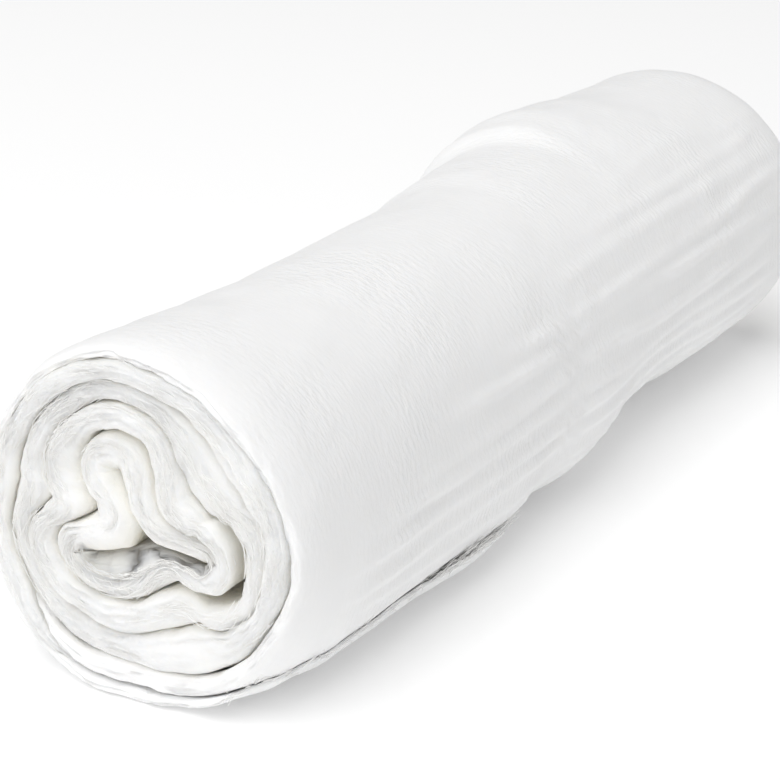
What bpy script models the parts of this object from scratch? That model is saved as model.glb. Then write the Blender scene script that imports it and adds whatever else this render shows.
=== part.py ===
"""Gauze bandage roll lying on its side: one strip of soft gauze wound up, and its loose end along the foot.

The roll lies along X with its near end at -X. Places on the ends are given as fractions of the roll's
radius, seen from the near end: "right" is -Y and "up" is +Z, and angles run from right over the top.
"""

import math

import bmesh
import bpy
from mathutils import Vector

# Driving dimensions, in metres.
ROLL_RADIUS = 0.0152
ROLL_LENGTH = 0.102
SEAT_GAP = 0.0003
SHOULDER = 0.0022
GROOVE_DEPTH = 0.0016
EDGE_WAVE = 0.00035
CORE_DEPTH = 0.016

# The roll sinks a little, so that it stands on a flat strip: height of its axis in radii.
AXIS_HEIGHT = 0.962

# The strip steps out by one turn just after this angle, where its loose end leaves the roll.
SEAM = 272.0
WALL_STEP = 0.7
STEP_OUT = 0.30
TURNS = 5
COLUMNS = 72

# The folded middle is drawn in full at the near end and fainter at the far end, round these turns (radii).
NEAR_CRUMPLE = 1.0
FAR_CRUMPLE = 0.45
ROUND_TURNS = (0.20, 0.36, 0.58)
RIM_RADIUS = 0.93

# Folds of the two crumpled inner turns, going round once: the wall of the hollow core, the middle of the
# first turn, the middle of the second turn, and how deep the hollow between those two turns goes (metres).
FOLDS = [
    # fold                 core          first turn      second turn     hollow
    ("right lobe tip", (0.44, -0.08), (0.50, -0.07), (0.61, -0.08), 0.0012),
    ("right lobe top", (0.40, -0.03), (0.44, 0.03), (0.57, 0.08), 0.0012),
    ("right lobe root", (0.28, -0.015), (0.29, 0.045), (0.44, 0.16), 0.0014),
    ("right neck", (0.15, -0.01), (0.15, 0.045), (0.31, 0.15), 0.0016),
    ("upper neck", (0.02, 0.07), (0.06, 0.085), (0.22, 0.20), 0.0020),
    ("upper lobe right", (-0.03, 0.14), (0.01, 0.18), (0.20, 0.32), 0.0022),
    ("upper lobe wall", (-0.06, 0.27), (-0.01, 0.31), (0.19, 0.45), 0.0022),
    ("upper lobe crown", (-0.09, 0.37), (-0.06, 0.43), (0.12, 0.58), 0.0030),
    ("upper lobe top", (-0.15, 0.395), (-0.17, 0.455), (-0.05, 0.65), 0.0045),
    ("upper lobe left", (-0.22, 0.36), (-0.28, 0.39), (-0.25, 0.60), 0.0040),
    ("upper lobe bulge", (-0.24, 0.28), (-0.30, 0.28), (-0.42, 0.48), 0.0035),
    ("left fold mouth", (-0.18, 0.18), (-0.23, 0.18), (-0.52, 0.34), 0.0060),
    ("left fold tip", (-0.08, 0.11), (-0.14, 0.11), (-0.52, 0.19), 0.0065),
    ("left fold foot", (-0.06, 0.03), (-0.16, 0.02), (-0.46, 0.09), 0.0050),
    ("left lobe top", (-0.20, -0.08), (-0.28, -0.035), (-0.52, 0.01), 0.0030),
    ("left lobe crown", (-0.33, -0.12), (-0.41, -0.09), (-0.62, -0.07), 0.0040),
    ("left lobe tip", (-0.38, -0.17), (-0.46, -0.18), (-0.65, -0.19), 0.0040),
    ("left lobe low", (-0.34, -0.24), (-0.41, -0.28), (-0.58, -0.33), 0.0014),
    ("foot left", (-0.24, -0.28), (-0.28, -0.34), (-0.42, -0.45), 0.0014),
    ("foot", (-0.12, -0.28), (-0.13, -0.345), (-0.22, -0.50), 0.0024),
    ("foot right", (-0.03, -0.22), (0.00, -0.29), (-0.04, -0.48), 0.0030),
    ("low slope", (0.06, -0.14), (0.10, -0.195), (0.12, -0.40), 0.0014),
    ("low saddle", (0.17, -0.08), (0.20, -0.14), (0.27, -0.32), 0.0020),
    ("right lobe saddle", (0.29, -0.10), (0.31, -0.165), (0.42, -0.33), 0.0024),
    ("right lobe foot", (0.40, -0.13), (0.43, -0.175), (0.56, -0.24), 0.0014),
]

# Sections along the roll, from the near end: how far the cloth stands out from a true cylinder, in radii,
# at the back of the top, low on the camera's side and low on the far side, and how much of the loose end
# lies between the roll and the surface there.
SECTIONS = [
    # along  back_top  low_front  low_far  loose
    (0.022, 0.017, -0.030, 0.100, 1.0),
    (0.055, -0.005, 0.010, 0.092, 1.0),
    (0.100, -0.028, 0.055, 0.075, 1.0),
    (0.160, -0.063, 0.066, 0.045, 1.0),
    (0.240, -0.088, 0.060, 0.025, 1.0),
    (0.320, -0.088, 0.072, 0.010, 1.0),
    (0.400, -0.084, 0.066, 0.000, 1.0),
    (0.445, -0.086, 0.075, 0.000, 1.0),
    (0.495, -0.076, 0.098, 0.000, 0.4),
    (0.545, -0.030, 0.082, 0.000, 0.0),
    (0.590, -0.008, 0.004, 0.000, 0.0),
    (0.632, 0.004, -0.030, 0.010, 0.0),
    (0.665, 0.108, -0.040, 0.020, 0.0),
    (0.710, 0.140, -0.036, 0.030, 0.0),
    (0.760, 0.110, 0.000, 0.030, 0.0),
    (0.840, 0.056, 0.012, 0.020, 0.0),
    (0.920, 0.036, 0.016, 0.010, 0.0),
    (0.978, 0.034, 0.010, 0.000, 0.0),
]
BACK_TOP_ANGLE = 128.5
LOW_FRONT_ANGLE = -51.5
LOW_FAR_ANGLE = 215.0
BULGE_SPREAD = 75.0

# Long shallow wrinkles on the camera's side.
WRINKLES = [
    # angle  height  half_width
    (12.0, 0.014, 9.0),
    (-8.0, 0.020, 9.0),
    (-27.0, 0.022, 8.0),
]

# The loose end: place along the roll, how many degrees round it reaches, and how far it lifts off the roll.
LOOSE_END = [
    # along  reach   lift
    (0.006, 42.0, 0.0002),
    (0.060, 44.0, 0.0004),
    (0.120, 43.5, 0.0005),
    (0.180, 45.5, 0.0005),
    (0.240, 45.0, 0.0008),
    (0.295, 47.0, 0.0013),
    (0.340, 46.5, 0.0017),
    (0.370, 43.5, 0.0016),
    (0.395, 38.0, 0.0012),
    (0.415, 30.0, 0.0008),
    (0.430, 20.0, 0.0004),
]
LOOSE_THICKNESS = 0.0010
LOOSE_THINNING = 0.3
LOOSE_COLUMNS = 10
LOOSE_START = 1.8

# How the hollow core closes: share of its depth, and how much of its outline is left there.
CORE_CENTRE = Vector((0.0, -0.05))
CORE_RINGS = [(0.10, 1.0), (0.30, 0.94), (0.55, 0.80), (0.80, 0.60), (1.0, 0.36)]
CORE_WALL = 0.1
CORE_STEP = 0.8

# The rounded edge of the roll: share of the shoulder's length, and how far it is drawn in, in radii.
SHOULDER_RINGS = [(0.35, 0.030), (0.80, 0.008)]

# Across each turn the edge of the strip has a groove and then the two sides of its crest.
GROOVE_LANE = -0.5
LANES = [GROOVE_LANE, -0.2, 0.2]


def clear_scene():
    for item in list(bpy.data.objects):
        bpy.data.objects.remove(item, do_unlink=True)


def smooth(value):
    """Rises smoothly from 0 to 1 while the value does."""
    value = min(max(value, 0.0), 1.0)
    return value * value * (3.0 - 2.0 * value)


def bell(angle, centre, half_width):
    """1 at the centre angle and 0 past the half width, in degrees."""
    away = abs((angle - centre + 180.0) % 360.0 - 180.0)
    return 0.5 + 0.5 * math.cos(math.pi * away / half_width) if away < half_width else 0.0


def direction(angle):
    return Vector((math.cos(math.radians(angle)), math.sin(math.radians(angle))))


def through(before, start, end, after, share):
    """A point of the smooth curve that runs from start to end."""
    slope_in = (end - before) * 0.5
    slope_out = (after - start) * 0.5
    square = share * share
    cube = square * share
    return (
        start * (2 * cube - 3 * square + 1)
        + slope_in * (cube - 2 * square + share)
        + end * (3 * square - 2 * cube)
        + slope_out * (cube - square)
    )


def fold_angle(fold):
    place = fold[3]
    return (math.degrees(math.atan2(place[1], place[0])) + 360.0) % 360.0


def fold_at(angle, column):
    """The place or depth in one column of FOLDS at an angle, between its rows."""
    angle %= 360.0
    ordered = sorted(FOLDS, key=fold_angle)
    count = len(ordered)
    last = max((i for i in range(count) if fold_angle(ordered[i]) <= angle), default=count - 1)
    rows = [ordered[(last + step) % count] for step in (-1, 0, 1, 2)]
    span = (fold_angle(rows[2]) - fold_angle(rows[1])) % 360.0
    share = ((angle - fold_angle(rows[1])) % 360.0) / span
    values = [row[column] for row in rows]
    if isinstance(values[0], tuple):
        return through(*[Vector(value) for value in values], share)
    return values[1] + (values[2] - values[1]) * smooth(share)


def section_at(along):
    """The row of SECTIONS at a place along the roll, between its rows."""
    for low, high in zip(SECTIONS, SECTIONS[1:]):
        if along <= high[0]:
            break
    share = smooth((along - low[0]) / (high[0] - low[0]))
    return [a + (b - a) * share for a, b in zip(low, high)]


def turn_done(angle):
    """How far the strip has stepped out to its next turn at this angle."""
    return smooth(((angle - SEAM) % 360.0) / 360.0 / STEP_OUT)


def surface_radius(along, angle):
    """Radius of the outer turn, in radii, before the roll settles on its flat strip."""
    _, back_top, low_front, low_far, _ = section_at(along)
    radius = 1.0
    radius += back_top * bell(angle, BACK_TOP_ANGLE, BULGE_SPREAD)
    radius += low_front * bell(angle, LOW_FRONT_ANGLE, BULGE_SPREAD)
    radius += low_far * bell(angle, LOW_FAR_ANGLE, BULGE_SPREAD)
    fade = smooth(min(along, 1.0 - along) / 0.1)
    for centre, height, half_width in WRINKLES:
        radius += fade * height * bell(angle, centre, half_width)
    return radius


def settled(place, raised=0.0):
    """Keeps a place no lower than the surface that the roll lies on, or than what lies under it there."""
    return Vector((place.x, max(place.y, raised / ROLL_RADIUS - AXIS_HEIGHT)))


def in_space(depth_along, place):
    """A point from its distance along the roll in metres, and its place on the end in radii."""
    return Vector((depth_along - ROLL_LENGTH / 2, -place.x * ROLL_RADIUS, (place.y + AXIS_HEIGHT) * ROLL_RADIUS))


def end_place(turn, angle, along, crumple):
    """Place of the strip's edge on an end: turn 0 is the core's wall, 1 and 2 are folded, and 5 is the rim."""
    rim = direction(angle) * surface_radius(along, angle) * RIM_RADIUS
    core, first, second = (
        (direction(angle) * radius).lerp(fold_at(angle, column), crumple)
        for column, radius in enumerate(ROUND_TURNS, start=1)
    )
    if turn <= 1.0:
        return core.lerp(first, turn)
    if turn <= 2.0:
        return first.lerp(second, turn - 1.0)
    return second.lerp(rim, (turn - 2.0) / (TURNS - 2.0))


def edge_depth(turn, lane, angle, crumple):
    """How far the strip's edge lies below the end of the roll: a crest, or the groove before it."""
    crest = EDGE_WAVE * (2.0 + math.sin(math.radians(2.0 * angle) + 2.1 * turn))
    if lane != GROOVE_LANE:
        return crest
    hollow = (fold_at(angle, 4) - GROOVE_DEPTH) * crumple
    between_folded_turns = max(0.0, 1.0 - 2.0 * abs(turn - 1.5))
    return crest + GROOVE_DEPTH + max(hollow, 0.0) * between_folded_turns


def wound_lines():
    """The lines that run along the edge of the strip, from the core out: turn and lane."""
    lines = [(turn, lane) for turn in range(TURNS) for lane in LANES]
    return lines[1:]


def end_face(bm, from_near_end, crumple):
    """The edge of the wound strip on one end. Returns its inner and outer border, in order."""
    lines = wound_lines()
    last = len(lines) - 1
    made = bmesh.ops.create_grid(bm, x_segments=COLUMNS, y_segments=last, size=0.5)
    grid = {}
    along = SECTIONS[0][0] if from_near_end else SECTIONS[-1][0]
    for vert in made["verts"]:
        column = round((vert.co.x + 0.5) * COLUMNS)
        line = round((vert.co.y + 0.5) * last)
        grid[line, column] = vert
    for (line, column), vert in grid.items():
        base, lane = lines[line]
        angle = SEAM + 360.0 * column / COLUMNS
        step = 1.0 if column == COLUMNS else turn_done(angle)
        turn = base + step + lane
        depth = edge_depth(turn, lane, angle, crumple)
        place = settled(end_place(turn, angle, along, crumple))
        vert.co = in_space(depth if from_near_end else ROLL_LENGTH - depth, place)
    per_turn = len(LANES)
    weld = {grid[line, COLUMNS]: grid[line + per_turn, 0] for line in range(last + 1 - per_turn)}
    bmesh.ops.weld_verts(bm, targetmap=weld)
    inner = [grid[0, column] for column in range(COLUMNS)]
    inner += [grid[line, 0] for line in range(per_turn, 0, -1)]
    outer = [grid[last, column] for column in range(COLUMNS + 1)]
    outer += [grid[line, COLUMNS] for line in range(last - 1, last - per_turn, -1)]
    return inner, outer


def join_rings(bm, ring, points):
    """Draws the next ring through the points and joins it to the last one. Returns the new ring."""
    new = [bm.verts.new(point) for point in points]
    count = len(ring)
    for i in range(count):
        after = (i + 1) % count
        bm.faces.new([ring[i], ring[after], new[after], new[i]])
    return new


def core_hollow(bm, ring, from_near_end, crumple):
    """The hollow between the folds at the middle of an end, drawn in and closed deep inside."""
    along = SECTIONS[0][0] if from_near_end else SECTIONS[-1][0]
    for depth, share in CORE_RINGS:
        points = []
        for i in range(len(ring)):
            angle = SEAM + 360.0 * min(i, COLUMNS) / COLUMNS
            back = 1.0 - turn_done(angle) if i < COLUMNS else (i - COLUMNS) / len(LANES)
            place = end_place(CORE_WALL - CORE_STEP * back, angle, along, crumple)
            place = CORE_CENTRE + (place - CORE_CENTRE) * share
            reach = depth * CORE_DEPTH
            points.append(in_space(reach if from_near_end else ROLL_LENGTH - reach, place))
        ring = join_rings(bm, ring, points)
    bm.faces.new(ring)


def body_ring(along, inset):
    """Places round the outer turn at one section, starting at the seam and ending with its step."""
    layer = section_at(along)[4] * (LOOSE_THICKNESS + SEAT_GAP)
    points = []
    wall = len(LANES)
    for i in range(COLUMNS + wall):
        if i < COLUMNS:
            angle = SEAM + 360.0 * i / COLUMNS
            drop = 1.0 - turn_done(angle)
            raised = layer if i < COLUMNS / 2 else 0.0
        else:
            angle = SEAM - WALL_STEP * (COLUMNS + wall - i)
            drop = (i - COLUMNS) / wall
            raised = layer * drop
        radius = surface_radius(along, angle) - drop * layer / ROLL_RADIUS - inset
        points.append(in_space(along * ROLL_LENGTH, settled(direction(angle) * radius, raised)))
    return points


def make_roll():
    bm = bmesh.new()
    near_core, near_rim = end_face(bm, True, NEAR_CRUMPLE)
    far_core, far_rim = end_face(bm, False, FAR_CRUMPLE)
    core_hollow(bm, near_core, True, NEAR_CRUMPLE)
    core_hollow(bm, far_core, False, FAR_CRUMPLE)
    ring = near_rim
    for share, inset in SHOULDER_RINGS:
        ring = join_rings(bm, ring, body_ring(share * SHOULDER / ROLL_LENGTH, inset))
    for section in SECTIONS:
        ring = join_rings(bm, ring, body_ring(section[0], 0.0))
    for share, inset in reversed(SHOULDER_RINGS):
        ring = join_rings(bm, ring, body_ring(1.0 - share * SHOULDER / ROLL_LENGTH, inset))
    count = len(ring)
    for i in range(count):
        after = (i + 1) % count
        bm.faces.new([ring[i], ring[after], far_rim[after], far_rim[i]])
    return finish(bm, "gauze_roll")


def loose_at(along):
    """The row of LOOSE_END at a place along the roll, between its rows."""
    for low, high in zip(LOOSE_END, LOOSE_END[1:]):
        if along <= high[0]:
            break
    share = smooth((along - low[0]) / (high[0] - low[0]))
    return [a + (b - a) * share for a, b in zip(low, high)]


def loose_place(along, across, outside):
    """A place on the loose end: across runs from its root at the roll's foot to its cut edge."""
    _, reach, lift = loose_at(along)
    angle = SEAM + LOOSE_START + (reach - LOOSE_START) * across
    drop = 1.0 - turn_done(angle)
    radius = surface_radius(along, angle) * ROLL_RADIUS - drop * (LOOSE_THICKNESS + SEAT_GAP)
    radius += SEAT_GAP + lift * smooth(across)
    if outside:
        radius += LOOSE_THICKNESS * (1.0 - LOOSE_THINNING * across)
    place = direction(angle) * radius / ROLL_RADIUS
    return in_space(along * ROLL_LENGTH, settled(place, 0.0 if outside else LOOSE_THICKNESS))


def make_loose_end():
    bm = bmesh.new()
    rows = len(LOOSE_END) * 2
    bmesh.ops.create_grid(bm, x_segments=LOOSE_COLUMNS, y_segments=rows, size=0.5)
    start, end = LOOSE_END[0][0], LOOSE_END[-1][0]
    grown = bmesh.ops.extrude_face_region(bm, geom=bm.faces[:], use_keep_orig=True)
    outside = {item for item in grown["geom"] if isinstance(item, bmesh.types.BMVert)}
    for vert in bm.verts:
        across = vert.co.x + 0.5
        along = start + (end - start) * (vert.co.y + 0.5)
        vert.co = loose_place(along, across, vert in outside)
    return finish(bm, "loose_end")


def finish(bm, name):
    """Makes one closed body, smooth but for its sharp bends, and gives it its cloth."""
    bmesh.ops.recalc_face_normals(bm, faces=bm.faces)
    mesh = bpy.data.meshes.new(name)
    bm.to_mesh(mesh)
    bm.free()
    mesh.shade_smooth()
    mesh.set_sharp_from_angle(angle=math.radians(60.0))
    piece = bpy.data.objects.new(name, mesh)
    bpy.context.scene.collection.objects.link(piece)
    piece.data.materials.append(gauze(name))
    return piece


def gauze(name):
    """Soft white cotton gauze, matt."""
    cloth = bpy.data.materials.new(name + "_cloth")
    cloth.use_nodes = True
    surface = cloth.node_tree.nodes["Principled BSDF"]
    surface.inputs["Base Color"].default_value = (0.92, 0.92, 0.90, 1.0)
    surface.inputs["Roughness"].default_value = 0.95
    surface.inputs["Metallic"].default_value = 0.0
    return cloth


def centre_on_floor(pieces):
    """Moves the finished pieces so that the origin is at the middle of their footprint."""
    points = [vert.co for piece in pieces for vert in piece.data.vertices]
    middle_x = (min(p.x for p in points) + max(p.x for p in points)) / 2
    middle_y = (min(p.y for p in points) + max(p.y for p in points)) / 2
    lowest = min(p.z for p in points)
    for point in points:
        point -= Vector((middle_x, middle_y, lowest))


clear_scene()
centre_on_floor([make_roll(), make_loose_end()])
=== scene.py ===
"""Gauze bandage roll, dressed: the wound strip with its crumpled middle, the outer turn with its loose end,
the threads at its cut and woven edges, and a pale studio floor. Lengths are in metres.
"""

import math

import bmesh
import bpy
import numpy as np
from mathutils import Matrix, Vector


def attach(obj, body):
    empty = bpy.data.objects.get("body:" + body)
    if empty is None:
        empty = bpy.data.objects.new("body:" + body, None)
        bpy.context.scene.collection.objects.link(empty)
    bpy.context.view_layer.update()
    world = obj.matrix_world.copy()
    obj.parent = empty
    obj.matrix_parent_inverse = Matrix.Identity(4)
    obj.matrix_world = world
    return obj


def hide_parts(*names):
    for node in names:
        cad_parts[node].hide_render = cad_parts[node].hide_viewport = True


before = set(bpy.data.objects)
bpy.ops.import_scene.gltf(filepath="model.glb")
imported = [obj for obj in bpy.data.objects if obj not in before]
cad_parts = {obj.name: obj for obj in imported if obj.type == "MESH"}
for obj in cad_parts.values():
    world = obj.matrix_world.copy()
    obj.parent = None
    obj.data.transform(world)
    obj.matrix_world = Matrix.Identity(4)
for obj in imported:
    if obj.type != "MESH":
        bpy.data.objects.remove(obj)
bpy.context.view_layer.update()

# The wound turns: one strip of soft white cotton gauze, 10 cm wide, wound from its inner cut end outwards.
# The two inner bands of turns lie in crumpled folds round the hollow middle, and the bands outside them
# are rounder; the strip's woven edges stand a little unevenly at both ends.
ROLL_RADIUS = 0.0152
NEAR_END = -0.0510
STRIP_WIDTH = 0.1020
AXIS_Y = -0.00017

# Height of the roll's axis in radii, the angle at which the loose end leaves the roll, and how far the
# strip steps out for it: over so many degrees, by the loose end's layer.
AXIS_HEIGHT = 0.962
SEAM = 272.0
STEP_OUT_ANGLE = 108.0
LOOSE_LAYER = 0.0013

# How crumpled the turns are at both ends, and the circles (radii) that they would make uncrumpled.
NEAR_CRUMPLE = 1.0
FAR_CRUMPLE = 0.45
ROUND_TURNS = (0.20, 0.36, 0.58)
COLUMNS_A_TURN = 190

# Folds of the crumpled turns, going round once, in radii: the wall of the hollow middle, the first band of
# turns and the second band, seen from the near end, right and up.
FOLDS = [
    # fold                 core          first turns     second turns
    ("right lobe tip", (0.44, -0.08), (0.50, -0.07), (0.61, -0.08)),
    ("right lobe top", (0.40, -0.03), (0.44, 0.03), (0.57, 0.08)),
    ("right lobe root", (0.28, -0.015), (0.29, 0.045), (0.44, 0.16)),
    ("right neck", (0.15, -0.01), (0.15, 0.045), (0.31, 0.15)),
    ("upper neck", (0.02, 0.07), (0.06, 0.085), (0.22, 0.20)),
    ("upper lobe right", (-0.03, 0.14), (0.01, 0.18), (0.20, 0.32)),
    ("upper lobe wall", (-0.06, 0.27), (-0.01, 0.31), (0.19, 0.45)),
    ("upper lobe crown", (-0.09, 0.37), (-0.06, 0.43), (0.12, 0.58)),
    ("upper lobe top", (-0.15, 0.395), (-0.17, 0.455), (-0.05, 0.65)),
    ("upper lobe left", (-0.22, 0.36), (-0.28, 0.39), (-0.25, 0.60)),
    ("upper lobe bulge", (-0.24, 0.28), (-0.30, 0.28), (-0.42, 0.48)),
    ("left fold mouth", (-0.18, 0.18), (-0.23, 0.18), (-0.52, 0.34)),
    ("left fold tip", (-0.08, 0.11), (-0.14, 0.11), (-0.52, 0.19)),
    ("left fold foot", (-0.06, 0.03), (-0.16, 0.02), (-0.46, 0.09)),
    ("left lobe top", (-0.20, -0.08), (-0.28, -0.035), (-0.52, 0.01)),
    ("left lobe crown", (-0.33, -0.12), (-0.41, -0.09), (-0.62, -0.07)),
    ("left lobe tip", (-0.38, -0.17), (-0.46, -0.18), (-0.65, -0.19)),
    ("left lobe low", (-0.34, -0.24), (-0.41, -0.28), (-0.58, -0.33)),
    ("foot left", (-0.24, -0.28), (-0.28, -0.34), (-0.42, -0.45)),
    ("foot", (-0.12, -0.28), (-0.13, -0.345), (-0.22, -0.50)),
    ("foot right", (-0.03, -0.22), (0.00, -0.29), (-0.04, -0.48)),
    ("low slope", (0.06, -0.14), (0.10, -0.195), (0.12, -0.40)),
    ("low saddle", (0.17, -0.08), (0.20, -0.14), (0.27, -0.32)),
    ("right lobe saddle", (0.29, -0.10), (0.31, -0.165), (0.42, -0.33)),
    ("right lobe foot", (0.40, -0.13), (0.43, -0.175), (0.56, -0.24)),
]

# How far the cloth stands out from a true cylinder along the roll, in radii: at the back of the top, low on
# the camera's side and low on the far side.
SECTIONS = [
    # along  back_top  low_front  low_far
    (0.022, 0.017, -0.030, 0.100),
    (0.055, -0.005, 0.010, 0.092),
    (0.100, -0.028, 0.055, 0.075),
    (0.160, -0.063, 0.066, 0.045),
    (0.240, -0.088, 0.060, 0.025),
    (0.320, -0.088, 0.072, 0.010),
    (0.400, -0.084, 0.066, 0.000),
    (0.445, -0.086, 0.082, 0.000),
    (0.495, -0.076, 0.112, 0.000),
    (0.545, -0.030, 0.082, 0.000),
    (0.590, -0.008, 0.004, 0.000),
    (0.632, 0.004, -0.030, 0.010),
    (0.665, 0.108, -0.040, 0.020),
    (0.710, 0.140, -0.036, 0.030),
    (0.760, 0.110, 0.000, 0.030),
    (0.840, 0.056, 0.012, 0.020),
    (0.920, 0.036, 0.016, 0.010),
    (0.978, 0.034, 0.010, 0.000),
]
BACK_TOP_ANGLE = 128.5
LOW_FRONT_ANGLE = -51.5
LOW_FAR_ANGLE = 215.0
BULGE_SPREAD = 75.0

# The winding path, by rows of the folds counted on from turn to turn, and the turn that it has reached:
# 0 the inner cut end, 1 and 2 the crumpled turns, 3 and 4 the round ones outside them.
WINDING = [
    # row   turn
    (-9.0, 0.0),
    (-1.5, 0.0),
    (3.5, 1.0),
    (23.5, 1.0),
    (28.5, 2.0),
    (45.6, 2.0),
    (52.0, 3.0),
    (70.6, 3.0),
    (77.0, 4.0),
    (94.2, 4.0),
]

# Thickness of the soft many-ply cloth on each turn, and how deep its woven edge lies.
TURN_THICKNESS = (0.00060, 0.00150, 0.00190, 0.00205, 0.00190)
TURN_EDGE = (0.00070, 0.00050, 0.00025, 0.00050, 0.00010, 0.00085)
PLY_PITCH = 0.00050
OUTER_THICKNESS = 0.00090

# The inner cut end: how thin it starts, the length over which it grows to its full thickness, and how far
# it lies over towards the middle of the hollow, by rows of the folds.
CUT_THINNESS = 0.35
CUT_TAPER = 0.002
CUT_ROWS = (-9.0, -6.0, -4.0)
CUT_LYING = (0.30, 0.24, 0.08)

# Room for the outer turn outside the wound ones, in radii, and where it is thinner: round the top of the
# near end, by this share, fading out this far along the roll.
COVER = 0.065
COVER_THINNER = 0.45
COVER_THIN_ANGLE = 85.0
COVER_THIN_SPREAD = 70.0
COVER_THIN_ALONG = 0.12

# Where the wound turns run on into the outer one, both end in a long wedge and lie on each other, with
# their woven edges drawn in a little where the wedge is thin.
WEDGE = 0.0090
WEDGE_THINNEST = 0.98
WEDGE_DRAWN_IN = 0.0010
WEDGE_DRAWN_FROM = 0.45
WEDGE_DRAWN_OVER = 0.50
WEDGE_JOINING = 0.003

# How far the cloth on both sides closes the room outside each turn, at the end of the roll and deep in,
# and over what depth. The turns are soft enough to fill all but shallow hollows.
CLOSING = [
    # turn  at_end  deep  over
    (0.0, 0.34, 0.94, 0.0013),
    (1.0, 0.56, 0.97, 0.0018),
    (2.0, 0.90, 0.98, 0.0009),
    (3.0, 0.98, 0.98, 0.0007),
    (4.0, 0.98, 0.98, 0.0007),
]
CLOSING_STARTS = 0.0014

# The middle of the hollow between the first turns: three spines, in radii, that its walls close on.
CORE_SPINES = [
    ((-0.14, 0.31), (0.02, -0.03)),
    ((-0.31, -0.19), (0.02, -0.09)),
    ((0.37, -0.09), (0.08, -0.05)),
]

# The loose end: place along the roll, how many degrees past the foot it reaches, how far it bows out from
# the roll before its cut edge leans back towards it, and how much of its bow the roll follows.
LOOSE_END = [
    # along  reach   bow    followed
    (0.000, 30.0, 0.0003, 0.85),
    (0.030, 40.0, 0.0005, 0.85),
    (0.070, 44.0, 0.0005, 0.85),
    (0.120, 44.5, 0.0004, 0.85),
    (0.180, 46.5, 0.0004, 0.85),
    (0.220, 46.0, 0.0006, 0.75),
    (0.255, 47.0, 0.0009, 0.58),
    (0.295, 48.0, 0.0011, 0.52),
    (0.325, 47.5, 0.0011, 0.64),
    (0.355, 46.0, 0.0010, 0.78),
    (0.385, 43.0, 0.0008, 0.85),
    (0.402, 38.0, 0.0006, 0.85),
    (0.416, 30.0, 0.0004, 0.85),
    (0.434, 12.0, 0.0002, 0.85),
    (0.460, -9.0, 0.0000, 0.85),
    (1.000, -10.0, 0.0000, 0.85),
]

# Shares of its reach at which it has its full bow, past its cut edge at which the roll follows it no
# more, and from which and over which it leans back, by this share of its bow; and the gap behind it.
LOOSE_LEAST_REACH = 4.0
LOOSE_FULL_BOW = 0.8
LOOSE_FOLLOWED_ON = 0.9
LOOSE_LEAN_FROM = 0.90
LOOSE_LEAN = 0.15
LOOSE_LEAN_BACK = 0.22
LOOSE_GAP = 0.00016

# The soft shoulder at each end of the roll: how deep it falls in radii, where it starts and how long it is.
SHOULDER = 0.034
SHOULDER_FROM_END = 0.0004
SHOULDER_LENGTH = 0.0065

# How softly the cloth bends where it comes to lie on the floor, and how far above it that ends, in radii,
# and how much higher each turn lies than the one outside it.
FLOOR_SOFTNESS = 0.015
CLEAR_OF_FLOOR = 0.25
LAYER_LIFT = 0.0019

# How uneven the woven edges are, each as the step along the strip and the height: slow waves, faster ones,
# and the ragged inner cut end, which is also tucked in past its first stretch.
EDGE_DEPTH = 0.00040
EDGE_MOST_PROUD = 0.0001
EDGE_SLOW = (0.0075, 0.00032)
EDGE_FAST = (0.0024, 0.00016)
EDGE_RAGGED = (0.0008, 0.00030)
EDGE_TUCKED = 0.00040
EDGE_TUCKED_FROM = 0.0045
EDGE_TUCKED_OVER = 0.002

# The plies that show along the woven edge: how they wander through its thickness (step, share of it), then
# the ridge that each makes, and the tufts and single fibres on it (step, height).
PLY_WANDER = (0.0040, 0.22)
PLY_WANDER_FAST = (0.0013, 0.09)
PLY_RIDGE = (0.0031, 0.00017)
PLY_TUFT = (0.0016, 0.00020)
PLY_FIBRE = (0.0007, 0.00010)

# The small pleats and the wobble of the cloth near its woven edge, and how far in they die out.
PLEAT = 0.10
PLEAT_STEP = 0.0012
PLEAT_STEP_IN = 0.0015
WOBBLE = 0.00012
WOBBLE_STEP = 0.0050
UNEVEN_REACH = 0.005

# How far ahead and behind, in rows of the folds, the path is read for its direction, how much of a
# bend's radius the cloth may fill on its inside, and where along the roll its length is measured.
LOOK_AHEAD = 0.12
BEND_FILLED = 0.85
LENGTH_ALONG = 0.02

# Rows of the mesh across the strip: angles round the soft edge, then metres further in.
EDGE_ANGLES = (7.0, 17.0, 27.0, 37.0, 47.0, 57.0, 67.0, 78.0, 90.0)
INNER_ROWS = (
    *(0.0004, 0.0010, 0.0018, 0.0028, 0.0042, 0.0060, 0.0090),
    *(0.0130, 0.0180, 0.0240, 0.0310, 0.0390, 0.0460),
)
EDGE_ROUNDING = 0.43


def smooth(value):
    """Rises smoothly from 0 to 1 while the value does."""
    value = np.clip(value, 0.0, 1.0)
    return value * value * (3.0 - 2.0 * value)


def bell(angle, centre, half_width):
    """1 at the centre angle and 0 past the half width, in degrees."""
    away = np.abs((angle - centre + 180.0) % 360.0 - 180.0)
    return np.where(away < half_width, 0.5 + 0.5 * np.cos(np.pi * away / half_width), 0.0)


def uneven(first, second, seed):
    """Soft unevenness from -1 to 1 that changes about once a step of either value."""
    table = np.random.default_rng(seed).uniform(-1.0, 1.0, (64, 64))
    i, j = np.floor(first).astype(int), np.floor(second).astype(int)
    a, b = smooth(first - i), smooth(second - j)
    low = table[i % 64, j % 64] * (1 - a) + table[(i + 1) % 64, j % 64] * a
    high = table[i % 64, (j + 1) % 64] * (1 - a) + table[(i + 1) % 64, (j + 1) % 64] * a
    return low * (1 - b) + high * b


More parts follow.
